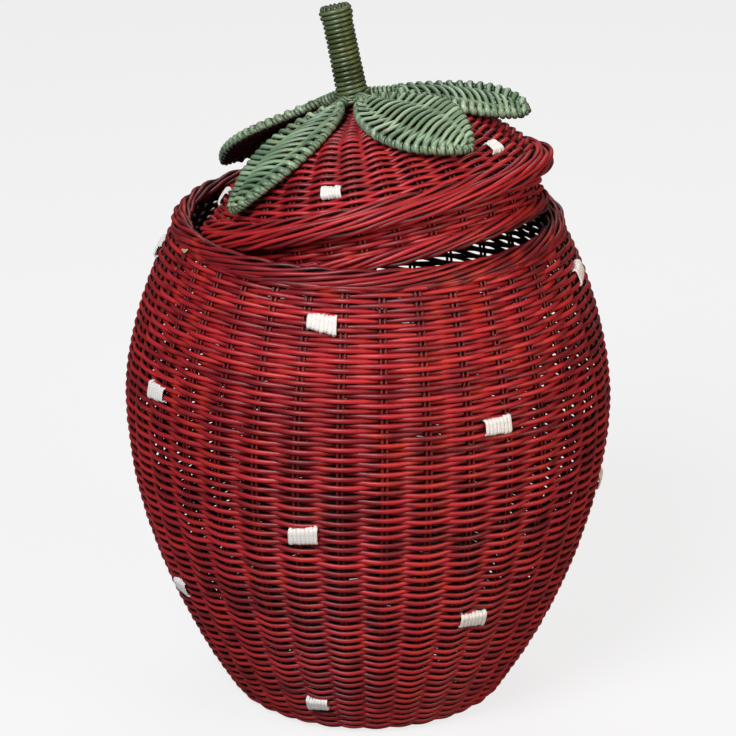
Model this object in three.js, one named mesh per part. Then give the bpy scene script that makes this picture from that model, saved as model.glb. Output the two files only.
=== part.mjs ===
// A lidded storage basket in the shape of a strawberry, woven in round cane over paired stakes.
// Millimetres, +Z up. The origin is on the floor, under the middle of the basket.
// The lid lies askew in the mouth, propped on the rim, and lifts straight off.
import * as THREE from "three";

// Materials of the weave
const caneRed = 0xa0232d;
const caneGreen = 0x6e9678;
const caneStem = 0x506446;
const threadWhite = 0xe6e6dc;
const rodBrown = 0xb08a5a;

// Gaps
const clearance = 0.3;
const propClearance = 0.4;

// Basket wall: the outline swells from the foot to the belly and draws in to the shoulder
const bellyRadius = 175;
const bellyHeight = 222;
const footRadius = 99.5;
const footRounding = 3;
const lowerFullness = 1.83;
const shoulderRadius = 140.6;
const shoulderHeight = 350;
const upperFullness = 1.88;
const wallThickness = 8;
const baseThickness = 6;
const baseRounding = 1.5;

// Waled rows and border at the mouth
const waleRows = 3;
const waleRowHeight = 4.6;
const waleRowBulge = 1.6;
const waleRowCrest = [0.3, 0.7];
const waleRowEase = 1;
const rimInset = 9.6;
const rimTube = 5.5;
const rimLift = 2;
const rimRadius = shoulderRadius - rimInset;

// The weavers bulge over each stake and draw in between two, which gives the wall upright ribs.
// Turns of the first stake are in degrees from the front.
const basketStakes = 35;
const basketFirstStake = THREE.MathUtils.degToRad(3.8);
const basketRibDepth = 2.5;
const lidStakes = 29;
const lidFirstStake = THREE.MathUtils.degToRad(6.4);
const lidRibDepth = 2.2;
const ribEase = 30;

// Lid, from the mouth outwards: the border at the foot of its neck drops into the mouth with
// some play, the neck stands up from that, and the twisted edge and the dome overhang the neck
const flangeTube = 4.5;
const lidPlay = 7.4;
const flangeRadius = rimRadius - rimTube - flangeTube - lidPlay;
const neckProud = 1.9;
const neckRadius = flangeRadius + neckProud;
const neckThickness = 6;
const neckDepth = 29;
const edgeOverhang = 8.6;
const edgeRadius = neckRadius + edgeOverhang;
const edgeTube = 5;
const domeInset = 2.1;
const domeRadius = edgeRadius - domeInset;
const domeHeight = 74.6;
const domeFlank = 1.54;
const domeCrown = 1.46;
const domeThickness = 7;
const crownThickness = 8;
const domeNest = 0.5;

// Lid at rest: how far it tips, and to which side it is low
const lidTilt = THREE.MathUtils.degToRad(16.16);
const lidLowSide = THREE.MathUtils.degToRad(143.35);

// Stem: a rod wound with cane, standing close to the middle of the lid
const stemOffset = -0.8;
const stemLean = THREE.MathUtils.degToRad(1.4);
const stemLength = 63;
const coreRadius = 7.7;
const windingTube = 1.25;
const windingGap = 0.46;
const windingSteps = 24;
const capHeight = 3.6;
const capOverhang = 0.8;
const collarTube = 2.8;
const collarSeat = 0.5;

// Leaves: a bent hoop, a woven blade inside it and a bound stalk. Knee and tip steer the bow
// of each leaf over the dome: how far it reaches from the stem, in dome radii, and how far it
// drops below the root, in dome heights. Half widths are in dome radii, turns and rolls in degrees.
// The stalks leave the stem evenly, but the leaves spread from a point a little beside it.
const leavesOffset = -4.3;
const stalkRadius = 3.8;
const stalkShare = 0.13;
const throatShare = 0.02;
const hoopTube = 2.5;
const hoopThroat = 2.9;
const bladeThickness = 2.6;
const almondSkew = 0.85;
const almondFullness = 0.75;
const leaves = [
  {
    name: "front_left",
    turn: -122,
    sweep: -20,
    knee: [0.705, 0.255],
    tip: [0.943, 0.724],
    halfWidth: 0.197,
    roll: -22,
    arch: 2,
  },
  {
    name: "front_right",
    turn: -64,
    sweep: 15,
    knee: [0.787, 0.241],
    tip: [0.951, 0.617],
    halfWidth: 0.254,
    roll: 27,
    arch: 3.5,
  },
  {
    name: "right",
    turn: 3,
    sweep: -7,
    knee: [0.689, 0.205],
    tip: [0.975, 0.535],
    halfWidth: 0.213,
    roll: 21,
    arch: 3,
  },
  {
    name: "back",
    turn: 92,
    sweep: 0,
    knee: [0.738, 0.228],
    tip: [0.943, 0.724],
    halfWidth: 0.205,
    roll: 0,
    arch: 3,
  },
  {
    name: "left",
    turn: 148,
    sweep: 0,
    knee: [0.62, 0.2],
    tip: [0.962, 0.485],
    halfWidth: 0.205,
    roll: 0,
    arch: 2,
  },
];

// Seeds: short wraps of thread over a few rows. On the basket each is set by its turn from the
// front, in degrees, and its share of the way up to the waled rows.
const seedWidth = 20.5;
const seedHeight = 12.5;
const seedThickness = 1.5;
const seedTaper = 1;
const basketSeeds = [
  [-96, 0.976], [-12, 0.976], [79, 0.964], [169, 0.973],
  [-59, 0.763], [31, 0.757], [122, 0.766], [212, 0.754],
  [-15, 0.538], [81, 0.494], [172, 0.532], [256, 0.52],
  [-63, 0.299], [29, 0.308], [118, 0.302], [208, 0.31],
  [-18, 0.083], [102, 0.089], [222, 0.08],
];
const lidSeedCount = 5;
const lidSeedTurn = -105.5;
const lidSeedInset = 16;
const lidSeedReach = domeRadius - lidSeedInset;
const lidSeedRun = 0.8;

// Fineness of the facets
const ringSides = 48;
const stemSides = 24;
const tubeSides = 8;
const wallStations = 12;
const domeStations = 9;
const hoopStations = 12;
const hoopSteps = 38;
const bladeRows = 12;
const bladeColumns = 4;
const bladeInset = 0.06;
const seedRows = 2;
const seedColumns = 3;
const lidRingSteps = 180;

const up = new THREE.Vector3(0, 0, 1);

function solid(name, geometry, color, roughness) {
  const material = new THREE.MeshStandardMaterial({ color, roughness, metalness: 0 });
  const mesh = new THREE.Mesh(geometry, material);
  mesh.name = name;
  return mesh;
}

// A profile of [radius, height] pairs turned about the upright axis
function turned(profile, sides = ringSides) {
  const points = profile.map(([radius, height]) => new THREE.Vector2(radius, height));
  return new THREE.LatheGeometry(points, sides).rotateX(Math.PI / 2);
}

// A woven wall, turned about the upright axis: one profile over the stakes, and one between them
function ribbed(crest, hollow, stakes, firstStake) {
  const points = crest.map(([radius, height]) => new THREE.Vector2(radius, height));
  const geometry = new THREE.LatheGeometry(points, 2 * stakes, firstStake);
  const place = geometry.attributes.position;
  for (let column = 1; column < 2 * stakes; column += 2) {
    const turn = firstStake + (Math.PI * column) / stakes;
    hollow.forEach(([radius, height], j) => {
      const corner = column * hollow.length + j;
      place.setXYZ(corner, radius * Math.sin(turn), height, radius * Math.cos(turn));
    });
  }
  geometry.computeVertexNormals();
  return geometry.rotateX(Math.PI / 2);
}

// How far the highest rib under a seed lies below the crests; the turn is from the front
function ribSink(turn, radius, stakes, firstStake, ribDepth) {
  const steps = ((turn - firstStake) * stakes) / (2 * Math.PI);
  const spacing = (2 * Math.PI * radius) / stakes;
  const beyond = Math.abs(steps - Math.round(steps)) * spacing - seedWidth / 2;
  return (Math.max(0, beyond) * ribDepth) / (spacing / 2);
}

// A round ring lying flat, its section centred on radius and height
function ring(radius, tubeRadius, height, sides = ringSides) {
  const section = [];
  for (let i = 0; i <= tubeSides; i += 1) {
    const angle = (2 * Math.PI * (i % tubeSides)) / tubeSides;
    section.push([radius + tubeRadius * Math.cos(angle), height + tubeRadius * Math.sin(angle)]);
  }
  return turned(section, sides);
}

// A round tube along a curve
function tube(curve, radius, steps, sides) {
  const section = new THREE.Shape();
  for (let i = 0; i < sides; i += 1) {
    const angle = (2 * Math.PI * i) / sides;
    const x = radius * Math.cos(angle);
    const y = radius * Math.sin(angle);
    if (i === 0) section.moveTo(x, y);
    else section.lineTo(x, y);
  }
  section.closePath();
  return new THREE.ExtrudeGeometry(section, { steps, extrudePath: curve, bevelEnabled: false });
}

// A closed plate between two grids of points that share their outline
function plate(top, bottom) {
  const rows = top.length;
  const columns = top[0].length;
  const positions = [];
  for (const grid of [top, bottom]) {
    for (const row of grid) {
      for (const point of row) positions.push(point.x, point.y, point.z);
    }
  }
  const at = (side, i, j) => side * rows * columns + i * columns + j;
  const faces = [];
  const quad = (a, b, c, d) => faces.push(a, b, c, a, c, d);
  for (let i = 0; i + 1 < rows; i += 1) {
    for (let j = 0; j + 1 < columns; j += 1) {
      quad(at(0, i, j), at(0, i + 1, j), at(0, i + 1, j + 1), at(0, i, j + 1));
      quad(at(1, i, j), at(1, i, j + 1), at(1, i + 1, j + 1), at(1, i + 1, j));
    }
    quad(at(0, i, 0), at(1, i, 0), at(1, i + 1, 0), at(0, i + 1, 0));
    const end = columns - 1;
    quad(at(0, i, end), at(0, i + 1, end), at(1, i + 1, end), at(1, i, end));
  }
  for (let j = 0; j + 1 < columns; j += 1) {
    quad(at(0, 0, j), at(0, 0, j + 1), at(1, 0, j + 1), at(1, 0, j));
    const end = rows - 1;
    quad(at(0, end, j), at(1, end, j), at(1, end, j + 1), at(0, end, j + 1));
  }
  const geometry = new THREE.BufferGeometry();
  geometry.setAttribute("position", new THREE.Float32BufferAttribute(positions, 3));
  geometry.setIndex(faces);
  geometry.computeVertexNormals();
  return geometry;
}

// Outer radius of the basket at a height, and how far the wall reaches inwards there
function basketRadius(height) {
  if (height < bellyHeight) {
    const fall = (bellyHeight - height) / bellyHeight;
    return bellyRadius - (bellyRadius - footRadius) * fall ** lowerFullness;
  }
  const rise = (height - bellyHeight) / (shoulderHeight - bellyHeight);
  return bellyRadius - (bellyRadius - shoulderRadius) * rise ** upperFullness;
}

function basketSlope(height) {
  return basketRadius(height + 0.5) - basketRadius(height - 0.5);
}

function wallInnerRadius(height) {
  return basketRadius(height) - wallThickness * Math.hypot(1, basketSlope(height));
}

const rimHeight = shoulderHeight + 2 * clearance + rimTube + rimLift;
const waleTop = rimHeight - rimTube - clearance;
const wallTop = waleTop - waleRows * waleRowHeight - clearance;
const baseRadius = footRadius - wallThickness - clearance;

function baseDisc() {
  const edge = baseRadius - baseRounding;
  return turned([
    [0, 0],
    [edge, 0],
    [baseRadius, baseRounding],
    [baseRadius, baseThickness - baseRounding],
    [edge, baseThickness],
    [0, baseThickness],
  ]);
}

function wallShell() {
  const bottom = clearance;
  const ease = 0.3 * footRounding;
  const outer = [
    [baseRadius + clearance, bottom],
    [footRadius - footRounding, bottom],
    [footRadius - ease, bottom + ease],
  ];
  const hollow = [...outer];
  const inner = [];
  for (let i = 0; i <= wallStations; i += 1) {
    const height = footRounding + ((wallTop - footRounding) * i) / wallStations;
    const floor = Math.max(height, baseThickness);
    const depth = basketRibDepth * Math.min(1, (height - footRounding) / ribEase);
    outer.push([basketRadius(height), height]);
    hollow.push([basketRadius(height) - depth, height]);
    if (i % 2 === 0) inner.unshift([wallInnerRadius(floor), floor]);
  }
  inner[inner.length - 1][0] = baseRadius + clearance;
  return ribbed(
    [...outer, ...inner, outer[0]],
    [...hollow, ...inner, hollow[0]],
    basketStakes,
    basketFirstStake,
  );
}

// The rows just under the border: each stands out as a rounded bead
function waledRows() {
  const outer = [];
  const [crestLow, crestHigh] = waleRowCrest;
  for (let i = 0; i < waleRows; i += 1) {
    const low = waleTop - (waleRows - i) * waleRowHeight;
    const crest = basketRadius(low) + waleRowBulge / 2;
    outer.push([crest - waleRowBulge, low]);
    outer.push([crest, low + crestLow * waleRowHeight]);
    outer.push([crest - waleRowEase, low + crestHigh * waleRowHeight]);
  }
  outer.push([basketRadius(waleTop) - waleRowBulge / 2, waleTop]);
  const low = waleTop - waleRows * waleRowHeight;
  const inner = [
    [wallInnerRadius(waleTop), waleTop],
    [wallInnerRadius(low), low],
  ];
  return turned([...outer, ...inner, outer[0]]);
}

// Height of the dome's skin above the lid's edge, at a distance from the lid's axis
function domeSkin(distance) {
  const share = Math.min(distance / domeRadius, 1);
  return domeHeight * (1 - share ** domeFlank) ** (1 / domeCrown);
}

function domeSlope(distance) {
  const within = Math.max(distance - 0.5, 0);
  return (domeSkin(distance + 0.5) - domeSkin(within)) / (distance + 0.5 - within);
}

function domeReach(height) {
  return domeRadius * (1 - (height / domeHeight) ** domeCrown) ** (1 / domeFlank);
}

const domeFoot = edgeTube - domeNest;
const neckTop = domeFoot - clearance;
const neckFoot = -neckDepth + flangeTube + clearance;

function domeShell() {
  const outer = [];
  const hollow = [];
  const inner = [];
  const widest = domeReach(domeFoot);
  const innerWidest = widest - domeThickness;
  for (let i = 0; i <= domeStations; i += 1) {
    const share = i === domeStations ? 0 : Math.cos((Math.PI / 2) * (i / domeStations));
    const radius = widest * share;
    const height = i === 0 ? domeFoot : domeSkin(radius);
    const slope = i === 0 ? -Infinity : domeSlope(radius);
    const ease = Math.min(Math.max(radius / ribEase - 0.5, 0), 1);
    const sunk = (lidRibDepth * ease) / Math.hypot(1, slope);
    outer.push([radius, height]);
    hollow.push([radius - (i === 0 ? lidRibDepth : -sunk * slope), height - sunk]);
    if (i % 2 === 1 && i < domeStations) continue;
    const within = innerWidest * share;
    inner.unshift([within, i === 0 ? domeFoot : domeSkin(within) - crownThickness]);
  }
  return ribbed(
    [...outer, ...inner, outer[0]],
    [...hollow, ...inner, hollow[0]],
    lidStakes,
    lidFirstStake,
  );
}

function neck() {
  const inside = neckRadius - neckThickness;
  return turned([
    [inside, neckFoot],
    [neckRadius, neckFoot],
    [neckRadius, neckTop],
    [inside, neckTop],
    [inside, neckFoot],
  ]);
}

// A helix of cane round the core. Each end turns upright for one diameter, to meet the
// collar below and the cap above squarely.
class Winding extends THREE.Curve {
  constructor(from, to) {
    super();
    this.from = from;
    this.to = to;
    this.run = (2 * Math.PI * windingRadius * (to - from)) / windingPitch;
    this.total = this.run + 2 * windingLead;
    this.arcLengthDivisions = 4000;
  }

  getPoint(t, target = new THREE.Vector3()) {
    const along = t * this.total - windingLead;
    const wound = Math.min(Math.max(along, 0), this.run);
    const angle = wound / windingRadius;
    const upright = along - wound;
    const height = this.from + (this.to - this.from) * (wound / this.run) + upright;
    return target.set(windingRadius * Math.cos(angle), windingRadius * Math.sin(angle), height);
  }
}

const windingRadius = coreRadius + clearance + windingTube;
const windingPitch = 2 * windingTube + windingGap;
const windingLead = 2 * windingTube;
const collarRadius = coreRadius + 2 * clearance + collarTube;
const windingFrom = 2 * collarTube + clearance + windingLead;
const capFoot = stemLength - capHeight;
const windingTo = capFoot - clearance - windingLead;
const stemSeat = clearance + collarSeat * collarRadius * Math.sin(stemLean);

function stemWinding() {
  const turns = (windingTo - windingFrom) / windingPitch;
  const curve = new Winding(windingFrom, windingTo);
  return tube(curve, windingTube, Math.ceil(windingSteps * turns) + 2, 6);
}

// The least gap between one turn and the next, measured on points of the centre line
function leastWindingGap() {
  const curve = new Winding(windingFrom, windingTo);
  const turns = (windingTo - windingFrom) / windingPitch;
  const points = curve.getSpacedPoints(Math.ceil(4 * windingSteps * turns));
  const apart = 2 * windingSteps;
  let least = Infinity;
  points.forEach((point, i) => {
    for (let j = i + apart; j < points.length; j += 1) {
      least = Math.min(least, point.distanceTo(points[j]));
    }
  });
  return least - 2 * windingTube;
}

function stemCore() {
  const geometry = new THREE.CylinderGeometry(coreRadius, coreRadius, capFoot - clearance, stemSides);
  return geometry.rotateX(Math.PI / 2).translate(0, 0, (capFoot - clearance) / 2);
}

function stemCap() {
  const edge = windingRadius + windingTube + capOverhang;
  const shoulder = capHeight * 0.3;
  return turned([
    [0, capFoot],
    [edge - shoulder, capFoot],
    [edge, capFoot + shoulder],
    [edge, capFoot + 2 * shoulder],
    [edge - shoulder, capFoot + 0.9 * capHeight],
    [0, capFoot + capHeight],
  ], stemSides);
}

const rootReach = collarRadius + collarTube + 2 * clearance;

// A leaf's stalk rests on the dome where it leaves the collar
function rootHeight(leaf) {
  const angle = THREE.MathUtils.degToRad(leaf.turn);
  const distance = Math.hypot(stemOffset + rootReach * Math.cos(angle), rootReach * Math.sin(angle));
  return domeSkin(distance) + stalkRadius + 2 * clearance;
}

// Point on a leaf's centre line, from its root at 0 to its tip at 1
function leafSpine(leaf, share) {
  const rest = 1 - share;
  const knee = 2 * rest * share;
  const tip = share * share;
  const reach = rest * rest * rootReach + domeRadius * (knee * leaf.knee[0] + tip * leaf.tip[0]);
  const drop = domeHeight * (knee * leaf.knee[1] + tip * leaf.tip[1]);
  const angle = THREE.MathUtils.degToRad(leaf.turn + leaf.sweep * share);
  const centre = leavesOffset + rest * rest * (stemOffset - leavesOffset);
  return new THREE.Vector3(
    centre + reach * Math.cos(angle),
    reach * Math.sin(angle),
    rootHeight(leaf) - drop,
  );
}

// The leaf's surface there: a point set aside from the centre line and off the surface
function leafPoint(leaf, share, aside, off) {
  const step = 0.01;
  const ahead = leafSpine(leaf, share + step).sub(leafSpine(leaf, share - step)).normalize();
  const side = new THREE.Vector3().crossVectors(up, ahead).normalize();
  const normal = new THREE.Vector3().crossVectors(ahead, side);
  const roll = THREE.MathUtils.degToRad(leaf.roll * share);
  side.applyAxisAngle(ahead, roll);
  normal.applyAxisAngle(ahead, roll);
  const sag = leaf.arch * (aside / (domeRadius * leaf.halfWidth)) ** 2;
  return leafSpine(leaf, share).addScaledVector(side, aside).addScaledVector(normal, off - sag);
}

// Half the width of a leaf's hoop, at its middle line, where the blade has run this far
function hoopHalfWidth(leaf, run) {
  const almond = Math.sin(Math.PI * Math.min(Math.max(run, 0), 1) ** almondSkew) ** almondFullness;
  return hoopThroat + (domeRadius * leaf.halfWidth - hoopTube - hoopThroat) * almond;
}

const bladeShare = (run) => stalkShare + (1 - stalkShare) * run;

// What a gap square to the hoop takes off the blade's half width, where the hoop runs aslant
function hoopSlant(leaf, run) {
  const step = 0.01;
  const widening = hoopHalfWidth(leaf, run + step) - hoopHalfWidth(leaf, run - step);
  const behind = leafSpine(leaf, bladeShare(run - step));
  const onward = leafSpine(leaf, bladeShare(run + step)).distanceTo(behind);
  return Math.hypot(1, widening / onward);
}

function leafHoop(leaf) {
  const left = [leafPoint(leaf, stalkShare - throatShare, hoopThroat, 0)];
  const right = [leafPoint(leaf, stalkShare - throatShare, -hoopThroat, 0)];
  for (let i = 0; i <= hoopStations; i += 1) {
    const run = 0.5 - 0.5 * Math.cos((Math.PI * i) / hoopStations);
    const width = hoopHalfWidth(leaf, run);
    left.push(leafPoint(leaf, bladeShare(run), width, 0));
    right.unshift(leafPoint(leaf, bladeShare(run), -width, 0));
  }
  const tip = leafPoint(leaf, 1 + hoopThroat / (domeRadius * leaf.tip[0]), 0, 0);
  const curve = new THREE.CatmullRomCurve3([...left, tip, ...right]);
  curve.arcLengthDivisions = 1000;
  return tube(curve, hoopTube, hoopSteps, 6);
}

function leafBlade(leaf) {
  const grids = [1, -1].map((face) => {
    const rows = [];
    for (let i = 0; i <= bladeRows; i += 1) {
      const even = 0.5 - 0.5 * Math.cos((Math.PI * i) / bladeRows);
      const run = bladeInset + (1 - 2 * bladeInset) * even;
      const width = hoopHalfWidth(leaf, run) - (hoopTube + 2 * clearance) * hoopSlant(leaf, run);
      const row = [];
      for (let j = 0; j <= bladeColumns; j += 1) {
        const aside = width * ((2 * j) / bladeColumns - 1);
        row.push(leafPoint(leaf, bladeShare(run), aside, (face * bladeThickness) / 2));
      }
      rows.push(row);
    }
    return rows;
  });
  return plate(grids[0], grids[1]);
}

function leafStalk(leaf) {
  const points = [];
  const reach = stalkShare - throatShare - (2 * clearance) / (domeRadius * leaf.tip[0]);
  for (let i = 0; i <= 4; i += 1) points.push(leafSpine(leaf, (reach * i) / 4));
  return tube(new THREE.CatmullRomCurve3(points), stalkRadius, 4, tubeSides);
}

// A seed: a small pillow on a curved skin, given as a function of its width, height and depth
function seed(skin) {
  const grids = [seedThickness, 0].map((depth, side) => {
    const taper = side === 0 ? seedTaper : 0;
    const rows = [];
    for (let i = 0; i <= seedRows; i += 1) {
      const row = [];
      for (let j = 0; j <= seedColumns; j += 1) {
        const across = (seedWidth / 2 - taper) * ((2 * j) / seedColumns - 1);
        const along = (seedHeight / 2 - taper) * ((2 * i) / seedRows - 1);
        row.push(skin(across, along, clearance + depth));
      }
      rows.push(row);
    }
    return rows;
  });
  return plate(grids[0], grids[1]);
}

// A point off the basket's wall; turns are counted from the front
function offWall(turn, height, depth) {
  const angle = turn - Math.PI / 2;
  const slope = basketSlope(height);
  const radius = basketRadius(height) + depth / Math.hypot(1, slope);
  const rise = (-depth * slope) / Math.hypot(1, slope);
  return new THREE.Vector3(radius * Math.cos(angle), radius * Math.sin(angle), height + rise);
}

function basketSeed([turn, share]) {
  const middle = THREE.MathUtils.degToRad(turn);
  const height = share * wallTop;
  const radius = basketRadius(height);
  const sink = ribSink(middle, radius, basketStakes, basketFirstStake, basketRibDepth);
  return seed((across, along, depth) => {
    return offWall(middle + across / radius, height - along, depth - sink);
  });
}

function offDome(angle, reach, depth) {
  const slope = domeSlope(reach);
  const radius = reach - (depth * slope) / Math.hypot(1, slope);
  const height = domeSkin(reach) + depth / Math.hypot(1, slope);
  return new THREE.Vector3(radius * Math.cos(angle), radius * Math.sin(angle), height);
}

function lidSeed(index) {
  const middle = THREE.MathUtils.degToRad(lidSeedTurn + (360 / lidSeedCount) * index);
  const fromFront = middle + Math.PI / 2;
  const sink = ribSink(fromFront, lidSeedReach, lidStakes, lidFirstStake, lidRibDepth);
  return seed((across, along, depth) => {
    return offDome(middle + across / lidSeedReach, lidSeedReach + lidSeedRun * along, depth - sink);
  });
}

// The lid at rest. Its low side has slipped into the mouth, its edge and the border of its neck
// bear on the rim. For a sideways shift of the lid, it is let down until one of them is about
// to touch, and the shift that lets it down furthest is where it comes to rest.
const lidTip = new THREE.Quaternion().setFromAxisAngle(
  new THREE.Vector3(-Math.sin(lidLowSide), Math.cos(lidLowSide), 0),
  lidTilt,
);

function leastPropGap(place) {
  const point = new THREE.Vector3();
  let least = Infinity;
  const lidRings = [
    [edgeRadius, edgeTube, 0],
    [flangeRadius, flangeTube, -neckDepth],
  ];
  for (const [radius, tubeRadius, height] of lidRings) {
    for (let i = 0; i < lidRingSteps; i += 1) {
      const angle = (2 * Math.PI * i) / lidRingSteps;
      point.set(radius * Math.cos(angle), radius * Math.sin(angle), height);
      point.applyQuaternion(lidTip).add(place);
      const away = Math.hypot(Math.hypot(point.x, point.y) - rimRadius, point.z - rimHeight);
      least = Math.min(least, away - tubeRadius - rimTube);
    }
  }
  return least;
}

function lidPlace(shift, height) {
  return new THREE.Vector3(-shift * Math.cos(lidLowSide), -shift * Math.sin(lidLowSide), height);
}

function letDown(shift) {
  let clear = rimHeight + neckDepth + rimRadius * Math.sin(lidTilt);
  while (leastPropGap(lidPlace(shift, clear - 1)) > propClearance) clear -= 1;
  let touching = clear - 1;
  while (clear - touching > 0.001) {
    const middle = (clear + touching) / 2;
    if (leastPropGap(lidPlace(shift, middle)) > propClearance) clear = middle;
    else touching = middle;
  }
  return clear;
}

function restPlace() {
  const widestShift = rimRadius - rimTube - flangeRadius + flangeTube + edgeTube;
  const shiftStep = 0.5;
  let best = [0, letDown(0)];
  for (let shift = shiftStep; shift <= widestShift; shift += shiftStep) {
    const height = letDown(shift);
    if (height < best[1]) best = [shift, height];
  }
  return lidPlace(best[0], best[1]);
}

const basket = new THREE.Group();
basket.add(
  solid("base_disc", baseDisc(), caneRed, 0.5),
  solid("wall_shell", wallShell(), caneRed, 0.45),
  solid("upper_wale", waledRows(), caneRed, 0.45),
  solid("rim_border", ring(rimRadius, rimTube, rimHeight), caneRed, 0.42),
);
basketSeeds.forEach((place, i) => {
  const number = String(i + 1).padStart(2, "0");
  basket.add(solid(`basket_seed_${number}`, basketSeed(place), threadWhite, 0.8));
});

const lid = new THREE.Group();
lid.add(
  solid("lid_dome", domeShell(), caneRed, 0.45),
  solid("lid_edge_rope", ring(edgeRadius, edgeTube, 0), caneRed, 0.42),
  solid("lid_neck", neck(), caneRed, 0.5),
  solid("lid_flange_border", ring(flangeRadius, flangeTube, -neckDepth), caneRed, 0.42),
);
for (let i = 0; i < lidSeedCount; i += 1) {
  lid.add(solid(`lid_seed_${i + 1}`, lidSeed(i), threadWhite, 0.8));
}
for (const leaf of leaves) {
  lid.add(
    solid(`leaf_${leaf.name}_stalk`, leafStalk(leaf), caneGreen, 0.5),
    solid(`leaf_${leaf.name}_hoop`, leafHoop(leaf), caneGreen, 0.5),
    solid(`leaf_${leaf.name}_blade`, leafBlade(leaf), caneGreen, 0.5),
  );
}

const stem = new THREE.Group();
stem.add(
  solid("stem_core", stemCore(), rodBrown, 0.6),
  solid("stem_winding", stemWinding(), caneStem, 0.5),
  solid("stem_collar", ring(collarRadius, collarTube, collarTube, stemSides), caneStem, 0.5),
  solid("stem_cap", stemCap(), caneStem, 0.5),
);
stem.position.set(stemOffset, 0, domeHeight + stemSeat);
stem.rotation.y = stemLean;
lid.add(stem);

lid.position.copy(restPlace());
lid.quaternion.copy(lidTip);

const group = new THREE.Group();
group.add(basket, lid);

console.log("least gap of the stem's winding to itself:", leastWindingGap().toFixed(3), "mm");

export default group;
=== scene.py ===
# %% [markdown]
# # A strawberry basket in dyed cane
# The real thing is a round storage basket woven in rattan core, dyed strawberry red, with a
# domed lid, green woven leaves and a bound stem for a handle. What makes it look real is that
# every cane passes over and under the next one, so this lesson models the canes themselves:
# each is a tube laid along a path that is worked out from how the weaver works.

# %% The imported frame
import math

import bmesh
import bpy
import numpy as np
from mathutils import Matrix, Vector


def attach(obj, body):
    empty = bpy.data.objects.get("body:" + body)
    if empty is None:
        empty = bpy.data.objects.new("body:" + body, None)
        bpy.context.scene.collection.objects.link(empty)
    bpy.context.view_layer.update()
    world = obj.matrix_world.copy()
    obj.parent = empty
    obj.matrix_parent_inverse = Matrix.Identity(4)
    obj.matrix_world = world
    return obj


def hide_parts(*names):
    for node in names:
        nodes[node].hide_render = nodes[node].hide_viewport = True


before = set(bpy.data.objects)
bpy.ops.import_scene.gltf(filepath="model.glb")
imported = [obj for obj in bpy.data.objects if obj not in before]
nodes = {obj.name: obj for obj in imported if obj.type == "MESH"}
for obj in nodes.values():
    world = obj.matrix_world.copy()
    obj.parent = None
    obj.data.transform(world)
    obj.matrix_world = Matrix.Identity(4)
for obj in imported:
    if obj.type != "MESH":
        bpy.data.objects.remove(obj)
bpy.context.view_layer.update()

scene = bpy.context.scene
MM = 0.001

# %% [markdown]
# ## Camera
# A long lens from 2.6 metres away keeps the sides of the basket nearly parallel, as a product
# photographer would have them. The camera looks down a little, so the lid's dome and the dark
# gap between lid and rim both show. The focal length is given in pixels of the picture's width,
# and the lens follows from it.

# %% Camera at the photograph's angle
look_at = Vector((0, 0, 242.8)) * MM
camera_distance = 2600 * MM
camera_elevation = math.radians(20.6)
focal_pixels = 3615
picture_pixels = 736

lens = bpy.data.cameras.new("camera")
lens.sensor_width = 36
lens.lens = focal_pixels / picture_pixels * lens.sensor_width
camera = bpy.data.objects.new("camera", lens)
scene.collection.objects.link(camera)
camera.location = look_at + camera_distance * Vector(
    (0, -math.cos(camera_elevation), math.sin(camera_elevation))
)
camera.rotation_euler = (math.pi / 2 - camera_elevation, 0, 0)
scene.camera = camera
scene.view_settings.view_transform = "Standard"
print(f"lens {lens.lens:.1f} mm, camera at {[round(c, 3) for c in camera.location]} m")

# %% [markdown]
# ## Adding shader nodes
# A material is a small graph. One function adds a node, sets its own settings and joins its
# sockets, so each material below reads from top to bottom. Colours are picked as hex values,
# as on a dyer's card, and turned to the linear values that the renderer works in.

# %% Colour and node helpers
def linear(hex_colour):
    """An sRGB hex colour as linear red, green, blue and alpha."""
    parts = [int(hex_colour[i:i + 2], 16) / 255 for i in (1, 3, 5)]
    return [p / 12.92 if p <= 0.04045 else ((p + 0.055) / 1.055) ** 2.4 for p in parts] + [1]


def add(tree, kind, sockets, **settings):
    """Adds a node. Sockets are joined to another node's output, or set to a value."""
    made = tree.nodes.new(kind)
    for name, value in settings.items():
        setattr(made, name, value)
    for socket, value in sockets.items():
        if isinstance(value, bpy.types.NodeSocket):
            tree.links.new(value, made.inputs[socket])
        else:
            made.inputs[socket].default_value = value
    return made


def new_material(name):
    """An empty material with its shader and output."""
    material = bpy.data.materials.new(name)
    material.use_nodes = True
    tree = material.node_tree
    tree.nodes.clear()
    shader = tree.nodes.new("ShaderNodeBsdfPrincipled")
    output = tree.nodes.new("ShaderNodeOutputMaterial")
    tree.links.new(shader.outputs[0], output.inputs["Surface"])
    return material, tree, shader


def ramp(tree, factor, stops):
    """A colour ramp, its stops given as place and hex colour."""
    made = add(tree, "ShaderNodeValToRGB", {"Fac": factor})
    made.color_ramp.elements.remove(made.color_ramp.elements[1])
    for i, (place, hex_colour) in enumerate(stops):
        stop = made.color_ramp.elements[0] if i == 0 else made.color_ramp.elements.new(place)
        stop.position = place
        stop.color = linear(hex_colour)
    return made.outputs["Color"]
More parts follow.
